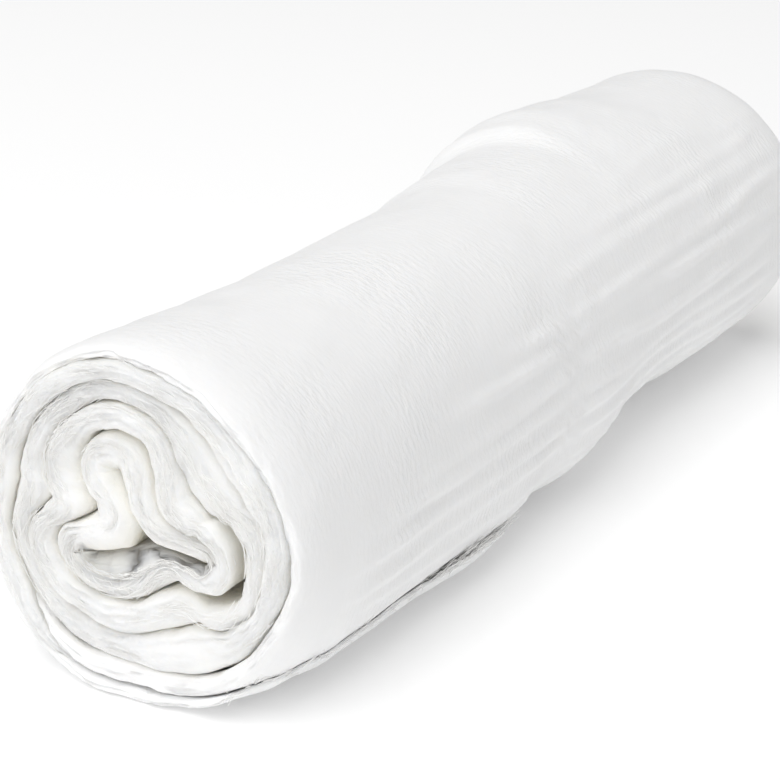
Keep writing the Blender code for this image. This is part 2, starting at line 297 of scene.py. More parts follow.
def eased(table, column, at):
    """A column of a table read between its rows, changing smoothly."""
    keys = np.array([row[0] for row in table])
    values = np.array([row[column] for row in table])
    low = np.clip(np.searchsorted(keys, at) - 1, 0, len(keys) - 2)
    share = smooth((at - keys[low]) / (keys[low + 1] - keys[low]))
    return values[low] + (values[low + 1] - values[low]) * share


def round_curve(places, row):
    """The smooth closed curve through the places, read at a row number."""
    places = np.asarray(places, float)
    count = len(places)
    i = np.floor(row).astype(int)
    share = (row - i)[..., None]
    before, start, end, after = (places[(i + step) % count] for step in (-1, 0, 1, 2))
    square, cube = share**2, share**3
    return (
        start * (2 * cube - 3 * square + 1)
        + (end - before) * 0.5 * (cube - 2 * square + share)
        + end * (3 * square - 2 * cube)
        + (after - start) * 0.5 * (cube - square)
    )


def direction(angle):
    """Unit vectors on the end of the roll at angles in degrees."""
    return np.stack([np.cos(np.radians(angle)), np.sin(np.radians(angle))], -1)


def unit(vectors):
    """The vectors, each made one long."""
    return vectors / np.maximum(np.linalg.norm(vectors, axis=-1, keepdims=True), 1e-9)


def fold_angle(row):
    """The angle at which each row of the folds lies, going round without a jump."""
    count = len(FOLDS)
    around = [math.degrees(math.atan2(fold[3][1], fold[3][0])) for fold in FOLDS]
    around = np.degrees(np.unwrap(np.radians(around)))
    around = np.concatenate([around - 360.0, around, around + 360.0])
    turns = np.floor(row / count)
    return np.interp(row - turns * count, np.arange(-count, 2 * count), around) + 360.0 * turns


def surface_radius(along, angle):
    """Radius of the outside of the roll, in radii, before it settles on the floor."""
    radius = 1.0 + eased(SECTIONS, 1, along) * bell(angle, BACK_TOP_ANGLE, BULGE_SPREAD)
    radius = radius + eased(SECTIONS, 2, along) * bell(angle, LOW_FRONT_ANGLE, BULGE_SPREAD)
    return radius + eased(SECTIONS, 3, along) * bell(angle, LOW_FAR_ANGLE, BULGE_SPREAD)


def step_left(angle):
    """How much of the last step outwards is still to come, going round from the seam."""
    return 1.0 - smooth(((angle - SEAM) % 360.0) / STEP_OUT_ANGLE)


def above_floor(places, lift):
    """Keeps places at least the lift (radii) above the floor, with a soft bend where they reach it."""
    lowest = lift - AXIS_HEIGHT
    over = places[..., 1] - lowest
    up = 0.5 * (over + np.sqrt(over * over + FLOOR_SOFTNESS * FLOOR_SOFTNESS))
    near = np.where(over > CLEAR_OF_FLOOR, over, up)
    return np.stack([places[..., 0], lowest + near], -1)


def in_space(along, places):
    """Points in space from the place along the roll (0 to 1) and the places on its end in radii."""
    x = NEAR_END + along * STRIP_WIDTH
    y = AXIS_Y - places[..., 0] * ROLL_RADIUS
    z = (places[..., 1] + AXIS_HEIGHT) * ROLL_RADIUS
    return np.stack([x, y, z], -1)


def shoulder(along):
    """How far the roll's outside falls away in the soft shoulder at each end, in radii."""
    edge = np.minimum(along, 1.0 - along) * STRIP_WIDTH
    return SHOULDER * (1.0 - smooth((edge - SHOULDER_FROM_END) / SHOULDER_LENGTH)) ** 2


def loose_share(past_foot, along):
    """How far out on the loose end a place is, so many degrees past the foot: 0 there, 1 by the cut edge."""
    return past_foot / np.maximum(eased(LOOSE_END, 1, along), LOOSE_LEAST_REACH)


def body_radius(along, angle):
    """Outside of the roll where the loose end covers it, with a soft shoulder at both ends of the roll."""
    past = loose_share((angle - SEAM) % 360.0, along)
    follows = eased(LOOSE_END, 3, along) * eased(LOOSE_END, 2, along)
    follows = follows * smooth(past / LOOSE_FULL_BOW) * (1.0 - smooth((past - 1.0) / LOOSE_FOLLOWED_ON))
    return surface_radius(along, angle) + follows / ROLL_RADIUS - shoulder(along)


def cover_room(along, angle):
    """Room that the outer turn takes outside the wound ones, in radii: less over the top of the near end."""
    thinner = COVER_THINNER * bell(angle, COVER_THIN_ANGLE, COVER_THIN_SPREAD)
    return COVER * (1.0 - thinner * (1.0 - smooth(along / COVER_THIN_ALONG)))


def rim_radius(along, angle):
    """Middle of the outermost of the wound turns, under the outer one, in radii."""
    face = body_radius(along, angle) - cover_room(along, angle)
    return face - 0.5 * TURN_THICKNESS[4] / ROLL_RADIUS


def spine_place(places):
    """The nearest place on the spines of the hollow middle."""
    best, found = np.full(places.shape[:-1], 9.0), places
    for start, end in CORE_SPINES:
        start, reach = np.array(start), np.array(end) - np.array(start)
        share = np.clip(((places - start) @ reach) / (reach @ reach), 0.0, 1.0)
        nearest = start + share[..., None] * reach
        away = np.linalg.norm(places - nearest, axis=-1)
        found = np.where((away < best)[..., None], nearest, found)
        best = np.minimum(away, best)
    return found


def winding_turn(row):
    """The turn that the path has reached at a row, stepping out between turns."""
    rows = np.array([entry[0] for entry in WINDING])
    turns = np.array([entry[1] for entry in WINDING])
    low = np.clip(np.searchsorted(rows, row) - 1, 0, len(rows) - 2)
    share = smooth((row - rows[low]) / (rows[low + 1] - rows[low]))
    return turns[low] + (turns[low + 1] - turns[low]) * share


def turn_stack(row, along):
    """Middles of all the turns at a row of the folds, in radii, from the inner cut end to the outer turn."""
    crumple = (NEAR_CRUMPLE + (FAR_CRUMPLE - NEAR_CRUMPLE) * along)[..., None]
    angle = fold_angle(row)
    out = direction(angle)
    core, first, second = (
        (1 - crumple) * out * radius + crumple * round_curve([fold[column] for fold in FOLDS], row)
        for column, radius in enumerate(ROUND_TURNS, start=1)
    )
    wall = first + unit(core - first) * 0.5 * TURN_THICKNESS[1] / ROLL_RADIUS
    _, _, closed_deep_in, over = CLOSING[0]
    depth = np.minimum(along, 1.0 - along) * STRIP_WIDTH - CLOSING_STARTS
    wall = wall + (closed_deep_in * smooth(depth / over))[..., None] * (spine_place(wall) - wall)
    lying = np.interp(row, CUT_ROWS, CUT_LYING)[..., None]
    inner_end = wall + lying * (spine_place(wall) - wall)
    rim = out * rim_radius(along, angle)[..., None]
    half = 0.5 / ROLL_RADIUS
    between = 0.5 * (second + out * half * TURN_THICKNESS[2] + rim - out * half * TURN_THICKNESS[4])
    outer = out * (body_radius(along, angle) - half * OUTER_THICKNESS)[..., None]
    stack = [inner_end, first, second, between, rim, outer]
    lifts = [LOOSE_LAYER + LAYER_LIFT * (4 - turn) + 0.5 * TURN_THICKNESS[4] for turn in range(5)]
    lifts.append(LOOSE_LAYER + 0.5 * OUTER_THICKNESS)
    return np.stack([above_floor(places, lift / ROLL_RADIUS) for places, lift in zip(stack, lifts)])


def at_turn(stack, turn):
    """Reads the stack of turns at a turn number, between two of them while the cloth steps out."""
    low = np.clip(np.floor(turn).astype(int), 0, len(stack) - 2)
    share = np.clip(turn - low, 0.0, 1.0)[..., None]
    pick = np.indices(low.shape)
    return stack[(low, *pick)] * (1 - share) + stack[(low + 1, *pick)] * share


def turn_place(row, along):
    """Middle of the cloth on the winding path, in radii, at a row number counted on through the turns."""
    return at_turn(turn_stack(row, along), winding_turn(row))


def edge_depth(around, turn, end):
    """How far the woven edge lies below the end of the roll, in metres: it is ragged at the inner cut end."""
    flat = turn * 0.0
    inner_end = 1.0 - smooth(turn)
    base = np.interp(turn, range(len(TURN_EDGE)), TURN_EDGE)
    slow = uneven(around / EDGE_SLOW[0], flat + 10.5 * end, seed=11 + end)
    fast = uneven(around / EDGE_FAST[0], flat + 3.5 * end, seed=23 + end)
    ragged = uneven(around / EDGE_RAGGED[0], flat + 5.5 * end, seed=29) * inner_end
    tucked = inner_end * smooth((around - EDGE_TUCKED_FROM) / EDGE_TUCKED_OVER)
    waves = base + EDGE_SLOW[1] * slow + EDGE_FAST[1] * fast
    depth = waves + EDGE_RAGGED[1] * ragged + EDGE_TUCKED * tucked
    return np.maximum(depth, -EDGE_MOST_PROUD) + EDGE_DEPTH


def cloth_grid(name, columns, rows):
    """A flat two-sided sheet of that many steps: x and y run over it, and z is 0 inside and 1 outside."""
    bm = bmesh.new()
    bmesh.ops.create_grid(bm, x_segments=columns, y_segments=rows, size=0.5)
    bmesh.ops.translate(bm, verts=bm.verts, vec=(0.5, 0.5, 0.0))
    grown = bmesh.ops.extrude_face_region(bm, geom=bm.faces[:], use_keep_orig=True)
    outside = [item for item in grown["geom"] if isinstance(item, bmesh.types.BMVert)]
    bmesh.ops.translate(bm, verts=outside, vec=(0.0, 0.0, 1.0))
    bmesh.ops.recalc_face_normals(bm, faces=bm.faces)
    mesh = bpy.data.meshes.new(name)
    bm.to_mesh(mesh)
    bm.free()
    return mesh


def grid_of(mesh):
    """The sheet's own steps at each point, before it is shaped."""
    flat = np.zeros(len(mesh.vertices) * 3, np.float32)
    mesh.vertices.foreach_get("co", flat)
    return flat.reshape(-1, 3).astype(float).T


def shape_cloth(mesh, points, around, across, deep):
    """Puts the sheet's points in place and gives it its cloth coordinates and the painted shade of each
    point.
    """
    mesh.vertices.foreach_set("co", points.astype(np.float32).ravel())
    corners = np.zeros(len(mesh.loops), np.int32)
    mesh.loops.foreach_get("vertex_index", corners)
    layer = mesh.uv_layers.new(name="cloth")
    layer.data.foreach_set("uv", np.stack([around, across], -1)[corners].astype(np.float32).ravel())
    # The attribute deep carries the painted shade that darkens the colour.
    shade = mesh.attributes.new("deep", "FLOAT", "POINT")
    shade.data.foreach_set("value", deep.astype(np.float32))
    mesh.update()
    volume = sum(face.center.dot(face.normal) * face.area for face in mesh.polygons)
    if volume < 0:
        mesh.flip_normals()
    mesh.shade_smooth()


def ply_tufts(around, level, thickness, turning, end):
    """How far each ply's edge lies below the one beside it, with short tufts of threads, in metres."""
    rounded_off = np.cos(np.radians(turning)) ** 0.5
    wandering = level + PLY_WANDER[1] * uneven(around / PLY_WANDER[0], end * 20.5, seed=71)
    wandering = wandering + PLY_WANDER_FAST[1] * uneven(around / PLY_WANDER_FAST[0], end, seed=73)
    plies = np.maximum(np.rint(thickness / PLY_PITCH), 1.0)
    ridge = np.cos(np.pi * (wandering + 1.0) * plies)
    strength = 0.6 + 0.6 * uneven(around / PLY_RIDGE[0], level * 2.0 + 7.0 * end, seed=75)
    tuft = uneven(around / PLY_TUFT[0], level * 3.5 + 9.0 * end, seed=77)
    fibre = uneven(around / PLY_FIBRE[0], level * 6.0 + 3.0 * end, seed=79)
    return rounded_off * (PLY_RIDGE[1] * ridge * strength + PLY_TUFT[1] * tuft + PLY_FIBRE[1] * fibre)


def strip_rows():
    """Mesh rows across the strip: angle round the soft edge, metres in past it, and which end it is at."""
    half = [(angle, 0.0) for angle in EDGE_ANGLES] + [(90.0, reach) for reach in INNER_ROWS]
    near = [(angle, reach, 0) for angle, reach in half]
    far = [(angle, reach, 1) for angle, reach in reversed(half)]
    return np.array(near + far)


# The gauze as woven: the pitch of its two sets of threads, how much they wander and how much they show.
WARP_PITCH = 0.00058
WARP_WANDER = 3.0
WARP_SHARE = 0.55
WEFT_PITCH = 0.00049
WEFT_WANDER = 3.6
WEFT_SHARE = 0.30


def gauze_cloth(name, relief, crinkle, glow, glow_reach, hollows, crests, deep_in):
    """Soft white cotton gauze: an open weave of fine threads, crinkled, matt, with painted shade that is
    warmer where it lies deep.
    """
    cloth = bpy.data.materials.new(name)
    cloth.use_nodes = True
    nodes, links = cloth.node_tree.nodes, cloth.node_tree.links
    shader = nodes["Principled BSDF"]
    shader.inputs["Roughness"].default_value = 0.92
    shader.inputs["Specular IOR Level"].default_value = 0.18
    shader.inputs["Sheen Weight"].default_value = 0.25
    shader.inputs["Sheen Roughness"].default_value = 0.45
    shader.inputs["Subsurface Weight"].default_value = glow
    shader.inputs["Subsurface Radius"].default_value = (1.0, 0.95, 0.88)
    shader.inputs["Subsurface Scale"].default_value = glow_reach

    place = nodes.new("ShaderNodeUVMap")
    place.uv_map = "cloth"

    def noise(scale_around, scale_across, detail):
        """Soft patches over the cloth, by how many there are to a metre."""
        spread = nodes.new("ShaderNodeMapping")
        spread.inputs["Scale"].default_value = (scale_around, scale_across, 1.0)
        links.new(place.outputs["UV"], spread.inputs["Vector"])
        grain = nodes.new("ShaderNodeTexNoise")
        grain.noise_dimensions = "2D"
        grain.inputs["Scale"].default_value = 1.0
        grain.inputs["Detail"].default_value = detail
        links.new(spread.outputs["Vector"], grain.inputs["Vector"])
        return grain.outputs["Fac"]

    def combine(operation, first, second):
        """One sum on two patterns, or on a pattern and a number."""
        step = nodes.new("ShaderNodeMath")
        step.operation = operation
        for socket, value in zip(step.inputs, (first, second)):
            if isinstance(value, float):
                socket.default_value = value
            else:
                links.new(value, socket)
        return step.outputs["Value"]

    def threads(bands_along, pitch, wander):
        """One set of the weave's threads, side by side."""
        wave = nodes.new("ShaderNodeTexWave")
        wave.bands_direction = bands_along
        wave.inputs["Scale"].default_value = 2.0 * math.pi / (20.0 * pitch)
        wave.inputs["Distortion"].default_value = wander
        wave.inputs["Detail"].default_value = 2.0
        wave.inputs["Detail Scale"].default_value = 0.35
        links.new(place.outputs["UV"], wave.inputs["Vector"])
        return wave.outputs["Fac"]

    warp = threads("Y", WARP_PITCH, WARP_WANDER)
    weft = threads("X", WEFT_PITCH, WEFT_WANDER)
    weave = combine("ADD", combine("MULTIPLY", warp, WARP_SHARE), combine("MULTIPLY", weft, WEFT_SHARE))
    strokes = noise(scale_around=1000.0, scale_across=2200.0, detail=2.0)
    patches = noise(scale_around=75.0, scale_across=95.0, detail=1.0)
    lumps = noise(scale_around=190.0, scale_across=160.0, detail=2.0)
    strokes = combine("MULTIPLY", strokes, combine("MULTIPLY", combine("POWER", patches, 2.0), crinkle))
    height = combine("ADD", combine("MULTIPLY", weave, relief), strokes)
    height = combine("ADD", height, combine("MULTIPLY", lumps, 0.5))
    bump = nodes.new("ShaderNodeBump")
    bump.inputs["Strength"].default_value = 0.55
    bump.inputs["Distance"].default_value = 0.00030
    links.new(height, bump.inputs["Height"])
    links.new(bump.outputs["Normal"], shader.inputs["Normal"])

    # Painted shade: the colour goes from crests to the darker hollows colour as the bump's height falls, so
    # the low spots of the weave, crinkles and lumps are shaded in the colour.
    tone = nodes.new("ShaderNodeMix")
    tone.data_type = "RGBA"
    tone.inputs["A"].default_value = (*hollows, 1.0)
    tone.inputs["B"].default_value = (*crests, 1.0)
    links.new(combine("MULTIPLY", height, 0.8), tone.inputs["Factor"])
    # Painted shade: the colour turns warmer and darker towards deep_in where the attribute deep is high, in
    # the hollows between the turns and in the valleys of the outer turn.
    warm = nodes.new("ShaderNodeMix")
    warm.data_type = "RGBA"
    warm.inputs["B"].default_value = (*deep_in, 1.0)
    shade_far_in = nodes.new("ShaderNodeAttribute")
    shade_far_in.attribute_name = "deep"
    links.new(shade_far_in.outputs["Fac"], warm.inputs["Factor"])
    links.new(tone.outputs["Result"], warm.inputs["A"])
    links.new(warm.outputs["Result"], shader.inputs["Base Color"])
    return cloth


def soft_half(thickness, side, behind, place, ahead):
    """Half the thickness, in radii, squeezed on the inside of a tight bend so that the cloth stays whole."""
    to_here, from_here = place - behind, ahead - place
    bend = to_here[..., 0] * from_here[..., 1] - to_here[..., 1] * from_here[..., 0]
    lengths = [np.linalg.norm(part, axis=-1) for part in (to_here, from_here, ahead - behind)]
    bend = 2.0 * bend / np.maximum(lengths[0] * lengths[1] * lengths[2], 1e-9)
    inside_of_bend = np.maximum(-side * bend, 0.0)
    half = 0.5 * thickness / ROLL_RADIUS
    return half / np.sqrt(1.0 + (half * inside_of_bend / BEND_FILLED) ** 2)


def closing_share(turn, side, inward):
    """How far the cloth closes the room beside it: a little at the end of the roll, nearly all deep in."""
    closing = np.array(CLOSING)
    room = np.where(side > 0, turn, turn - 1.0)
    at_end, deep_in, over = (np.interp(room, closing[:, 0], column) for column in closing.T[1:])
    return at_end + (deep_in - at_end) * smooth(inward / over)


def meeting_place(stack, turn, side, outward, place, face):
    """Where a face of the cloth would meet the turn beside it, or on the first turn the hollow's middle."""
    next_turn = np.clip(turn + side, 0.0, 5.0)
    thicknesses = (*TURN_THICKNESS, OUTER_THICKNESS)
    next_half = 0.5 * np.interp(next_turn, range(6), thicknesses) / ROLL_RADIUS
    met = at_turn(stack, next_turn) - outward * (side * next_half)[..., None]
    to_spine = 2.0 * spine_place(place + face) - place - face
    return np.where(((side < 0) & (turn < 1.3))[..., None], to_spine, met)


# What counts as deep for the painted shade in the colour: the hollows beside the inner turns, less so up to
# these turns and least outside them, from so far in and over so much, and also the cloth's faces and inner
# cut end.
HOLLOW_TURNS = (0.6, 3.0)
HOLLOW_LEAST = 0.15
HOLLOW_FROM = 0.0004
HOLLOW_OVER = 0.004
FACE_PAINTED_SHADE = 0.45
CUT_END_PAINTED_SHADE = 0.5


def painted_hollow_shade(turn, level, inward):
    """Painted shade of a point for lying deep in the hollows beside the turns: 0 on their rounded edges and 1
    far in.
    """
    innermost, outermost = HOLLOW_TURNS
    inner = 1.0 - smooth((turn - innermost) / (outermost - innermost))
    shade_far_in = smooth((inward - HOLLOW_FROM) / HOLLOW_OVER) * (HOLLOW_LEAST + (1.0 - HOLLOW_LEAST) * inner)
    deep = FACE_PAINTED_SHADE * np.abs(level) ** 3 + shade_far_in + CUT_END_PAINTED_SHADE * (1.0 - smooth(turn))
    return np.clip(deep, 0.0, 1.0)


def wound_turns():
    """The strip from its inner cut end to the turn under the outermost one, and how long it is."""
    first_row, last_row = WINDING[0][0], WINDING[-1][0]
    columns = int((last_row - first_row) / len(FOLDS) * COLUMNS_A_TURN)
    rows = strip_rows()
    mesh = cloth_grid("wound_turns", columns, len(rows) - 1)
    sheet_x, sheet_y, outside = grid_of(mesh)
    row = first_row + (last_row - first_row) * sheet_x
    turning, reach, end = rows[np.rint(sheet_y * (len(rows) - 1)).astype(int)].T
    path_rows = np.linspace(first_row, last_row, columns + 1)
    centre_line = turn_place(path_rows, np.full(columns + 1, LENGTH_ALONG))
    strides = np.linalg.norm(np.diff(centre_line, axis=0), axis=1) * ROLL_RADIUS
    path = np.concatenate([[0.0], np.cumsum(strides)])
    length = path[-1]
    around = path[np.rint(sheet_x * columns).astype(int)]

    turn = winding_turn(row)
    side = 2.0 * outside - 1.0
    level = side * np.sin(np.radians(turning))
    wedge = np.where(turn > 2.5, np.clip((around - length + WEDGE) / WEDGE, 0.0, WEDGE_THINNEST), 0.0)
    from_cut = np.minimum(around, length - around)
    tapered = CUT_THINNESS + (1.0 - CUT_THINNESS) * smooth(from_cut / CUT_TAPER)
    thickness = np.interp(turn, range(5), TURN_THICKNESS) * np.where(turn < 2.0, tapered, 1.0)
    thickness = thickness * (1.0 - wedge)
    rounding = EDGE_ROUNDING * thickness * (1.0 - np.cos(np.radians(turning)))
    inward = reach + rounding

    depth = np.where(end == 0, edge_depth(around, turn, 0), edge_depth(around, turn, 1))
    depth = depth + WEDGE_DRAWN_IN * smooth((wedge - WEDGE_DRAWN_FROM) / WEDGE_DRAWN_OVER)
    from_end = depth + rounding + ply_tufts(around, level, thickness, turning, end) + reach
    along = np.where(end == 0, from_end / STRIP_WIDTH, 1.0 - from_end / STRIP_WIDTH)
    stack = turn_stack(row, along)
    place = at_turn(stack, turn)
    ahead = turn_place(row + LOOK_AHEAD, along)
    behind = turn_place(row - LOOK_AHEAD, along)
    travel = unit(ahead - behind)
    outward = np.stack([travel[..., 1], -travel[..., 0]], -1)
    face = outward * (side * soft_half(thickness, side, behind, place, ahead))[..., None]

    joining = smooth((length - WEDGE - around) / WEDGE_JOINING)
    last_turn = smooth((row - last_row + len(FOLDS) + 1.0) / 1.5) * (side > 0)
    closed = closing_share(turn, side, inward)
    closed = np.where(turn > 3.5, closed * joining, closed) * (1.0 + last_turn)
    near_edge = 1.0 - smooth(inward / UNEVEN_REACH)
    wobble = WOBBLE * uneven(around / WOBBLE_STEP, end * 5.0, seed=31)
    wobble = wobble * near_edge * joining
    pleat = PLEAT * uneven(around / PLEAT_STEP, reach / PLEAT_STEP_IN + side, seed=41)
    pleat = pleat * near_edge * joining
    met = meeting_place(stack, turn, side, outward, place, face)
    face = face * (1.0 + pleat)[..., None] + (0.5 * closed)[..., None] * (met - place - face)
    shift = wobble / ROLL_RADIUS + 0.5 * wedge * TURN_THICKNESS[4] / ROLL_RADIUS
    place = place + np.sin(np.radians(turning))[..., None] * face + outward * shift[..., None]
    from_edge = np.where(end == 0, rounding + reach, STRIP_WIDTH - rounding - reach)
    across = from_edge + 0.5 * level * thickness
    shape_cloth(mesh, in_space(along, place), around, across, painted_hollow_shade(turn, level, inward))
    strip = bpy.data.objects.new("wound_turns", mesh)
    bpy.context.scene.collection.objects.link(strip)
    mesh.materials.append(
        gauze_cloth(
            "gauze_of_the_turns",
            relief=0.06,
            crinkle=5.0,
            glow=0.85,
            glow_reach=0.0022,
            # hollows is painted shade in the low spots of the bump; crests is the cloth's own white.
            hollows=(0.945, 0.936, 0.905),
            crests=(0.982, 0.978, 0.958),
            # deep_in is painted warm shade in the hollows between the turns, on the cloth's faces and at the
            # inner cut end.
            deep_in=(0.955, 0.905, 0.795),
        )
    )
    return strip, float(length)


strip, strip_length = wound_turns()
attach(strip, "root")
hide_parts("gauze_roll")

# The outer turn and the loose end: the last stretch of the same gauze strip. It goes once round the roll,
# under it, and its cut end shows along the foot on the camera's side, lifted a little off the roll.
OUTER_COLUMNS = 300
OUTER_STEP = 0.00092
OUTER_START = float(fold_angle(np.array(WINDING[-1][0]))) % 360.0 - math.degrees(WEDGE / ROLL_RADIUS)
OUTER_EDGE_ROUNDING = 0.8
LOOSE_ROOT = SEAM + 360.0

# The loose end leaves the roll from so many degrees before the foot and over so many, follows this share of
# the roll's shoulder, and gets thinner over its first degrees.
LEAVES_BEFORE = 8.0
LEAVES_OVER = 20.0
LOOSE_SHOULDER = 0.3
LOOSE_THINNER = 0.00030
LOOSE_THINS_OVER = 30.0

# Its woven edge comes forward beside the roll, by turns' edges and degrees. Its cut edge is thin, by
# metres from the cut and share of the thickness, and ragged, by steps along the roll and degrees.
EDGE_FORWARD = 0.85
EDGE_FORWARD_BEFORE = 70.0
EDGE_FORWARD_OVER = 50.0
CUT_EDGE_FROM = (0.0, 0.0006, 0.0012)
CUT_EDGE_SHARE = (0.35, 0.8, 1.0)
CUT_EDGE_RAGGED = (30.0, 1.3)
CUT_EDGE_RAGGED_FINE = (85.0, 1.1)

# Under the roll, the cloth's first pass of the foot lies on the last one, up to about this angle.
FOOT_PASSED = 330.0
FOOT_PASSED_OVER = 60.0

# How soft the outer cloth is: its slight unevenness (steps along the roll, degrees round it, height), and
# its edges, which bend in towards the roll (radii, metres from the end, metres long).
OUTER_UNEVEN = (12.0, 14.0, 0.00010)
OUTER_UNEVEN_FINE = (40.0, 6.0, 0.00005)
OUTER_EDGE_BENT = 0.012
OUTER_EDGE_BENT_FROM = 0.0012
OUTER_EDGE_BENT_OVER = 0.0030

# Long soft wrinkles along the camera's side: angle round the roll, height, half width in degrees, how far
# they wander, and where along the roll they begin and end.
WRINKLES = [
    # angle  height    half  wander  from   to
    (56.0, 0.00018, 5.0, 5.0, 0.62, 1.00),
    (45.0, 0.00024, 4.6, 5.0, 0.52, 1.00),
    (35.0, 0.00030, 4.4, 4.5, 0.42, 0.98),
    (25.0, 0.00036, 4.2, 4.0, 0.30, 0.98),
    (15.5, 0.00042, 4.0, 3.5, 0.20, 0.96),
    (6.5, 0.00048, 3.9, 3.0, 0.12, 0.94),
    (-2.0, 0.00052, 3.8, 2.6, 0.08, 0.92),
    (-10.5, 0.00054, 3.7, 2.3, 0.05, 0.95),
    (-18.5, 0.00054, 3.6, 2.0, 0.05, 0.90),
    (-26.5, 0.00050, 3.5, 1.8, 0.05, 0.96),
    (-34.5, 0.00046, 3.4, 1.6, 0.05, 0.90),
]

# Each wrinkle bends and swells about so many times along the roll, has this share of its height, more or
# less by the second one, and starts and ends over these shares of the roll.
WRINKLE_BENDS = 6.5
WRINKLE_LUMPS = 12.0
WRINKLE_STRENGTH = (0.70, 0.40)
WRINKLE_STARTS = 0.10
WRINKLE_ENDS = 0.08

# Painted shade in the valleys between the wrinkles, a little darker in colour: below this height, round this
# angle.
VALLEY_BELOW = 0.00030
VALLEY_PAINTED_SHADE = 0.45
VALLEY_ANGLE = 5.0
VALLEY_SPREAD = 65.0
VALLEY_FROM = 0.06
VALLEY_OVER = 0.15


def outer_thickness(angle):
    """Thickness of the outer cloth: full where it comes out from under itself, thin at its cut end."""
    stepping = smooth((angle - SEAM) / STEP_OUT_ANGLE)
    thick = TURN_THICKNESS[4] + (OUTER_THICKNESS - TURN_THICKNESS[4]) * stepping
    return thick - LOOSE_THINNER * smooth((angle - LOOSE_ROOT) / LOOSE_THINS_OVER)


def wrinkle_height(angle, along):
    """How far the long wrinkles raise the outer cloth, in metres."""
    wrinkled = np.zeros_like(along + angle)
    for number, (centre, height, half_width, wander, start, end) in enumerate(WRINKLES):
        own = along * 0.0 + number
        moved = centre + wander * uneven(along * WRINKLE_BENDS + 0.37 * number, own, seed=51)
        begun = smooth((along - start) / WRINKLE_STARTS)
        ended = smooth((along - end + WRINKLE_ENDS) / WRINKLE_ENDS)
        swelling = uneven(along * WRINKLE_LUMPS + 0.43 * number, own, seed=53)
        strength = WRINKLE_STRENGTH[0] + WRINKLE_STRENGTH[1] * swelling
        here = begun * (1.0 - ended)
        wrinkled = wrinkled + height * here * strength * bell(angle, moved, half_width)
    return wrinkled


def outer_place(angle, along):
    """Middle of the outer cloth, in radii, at an angle counted on through its two passes of the foot."""
    stepping = smooth((angle - SEAM) / STEP_OUT_ANGLE)
    half = 0.5 * outer_thickness(angle) / ROLL_RADIUS
    laid = body_radius(along, angle) - (1.0 - stepping) * cover_room(along, angle) - half

    past = loose_share(angle - LOOSE_ROOT, along)
    leaning_back = 1.0 - LOOSE_LEAN_BACK * smooth((past - LOOSE_LEAN_FROM) / LOOSE_LEAN)
    bow = eased(LOOSE_END, 2, along) * smooth(past / LOOSE_FULL_BOW) * leaning_back
    hanging = surface_radius(along, angle) - LOOSE_SHOULDER * shoulder(along)
    hanging = hanging - step_left(angle) * LOOSE_LAYER / ROLL_RADIUS
    hanging = hanging + (LOOSE_GAP + bow) / ROLL_RADIUS + half
    left = smooth((angle - LOOSE_ROOT + LEAVES_BEFORE) / LEAVES_OVER)
    radius = laid * (1 - left) + hanging * left

    (steps, degrees, high), (fine_steps, fine_degrees, fine_high) = OUTER_UNEVEN, OUTER_UNEVEN_FINE
    soft = high * uneven(along * steps, angle / degrees, seed=55)
    soft = soft + fine_high * uneven(along * fine_steps, angle / fine_degrees, seed=57)
    radius = radius + stepping * soft / ROLL_RADIUS
    edge = np.minimum(along, 1.0 - along) * STRIP_WIDTH
    bent = (1.0 - smooth((edge - OUTER_EDGE_BENT_FROM) / OUTER_EDGE_BENT_OVER)) ** 2
    radius = radius - stepping * OUTER_EDGE_BENT * bent
    first_pass = 1.0 - smooth((angle - FOOT_PASSED) / FOOT_PASSED_OVER)
    raised = first_pass * (1.0 - left) * LOOSE_LAYER / ROLL_RADIUS
    return above_floor(direction(angle) * radius[..., None], half + raised)


def cut_edge_angle(share):
    """The angle at which the cut edge of the loose end lies, that share of the way along the roll."""
    reach = eased(LOOSE_END, 1, share)
    angle = LOOSE_ROOT + reach * np.where(reach > 0.0, LOOSE_LEAN_FROM + LOOSE_LEAN, 1.0)
    angle = angle + CUT_EDGE_RAGGED[1] * uneven(share * CUT_EDGE_RAGGED[0], share * 0.0, seed=61)
    return angle + CUT_EDGE_RAGGED_FINE[1] * uneven(share * CUT_EDGE_RAGGED_FINE[0], share * 0.0, seed=63)


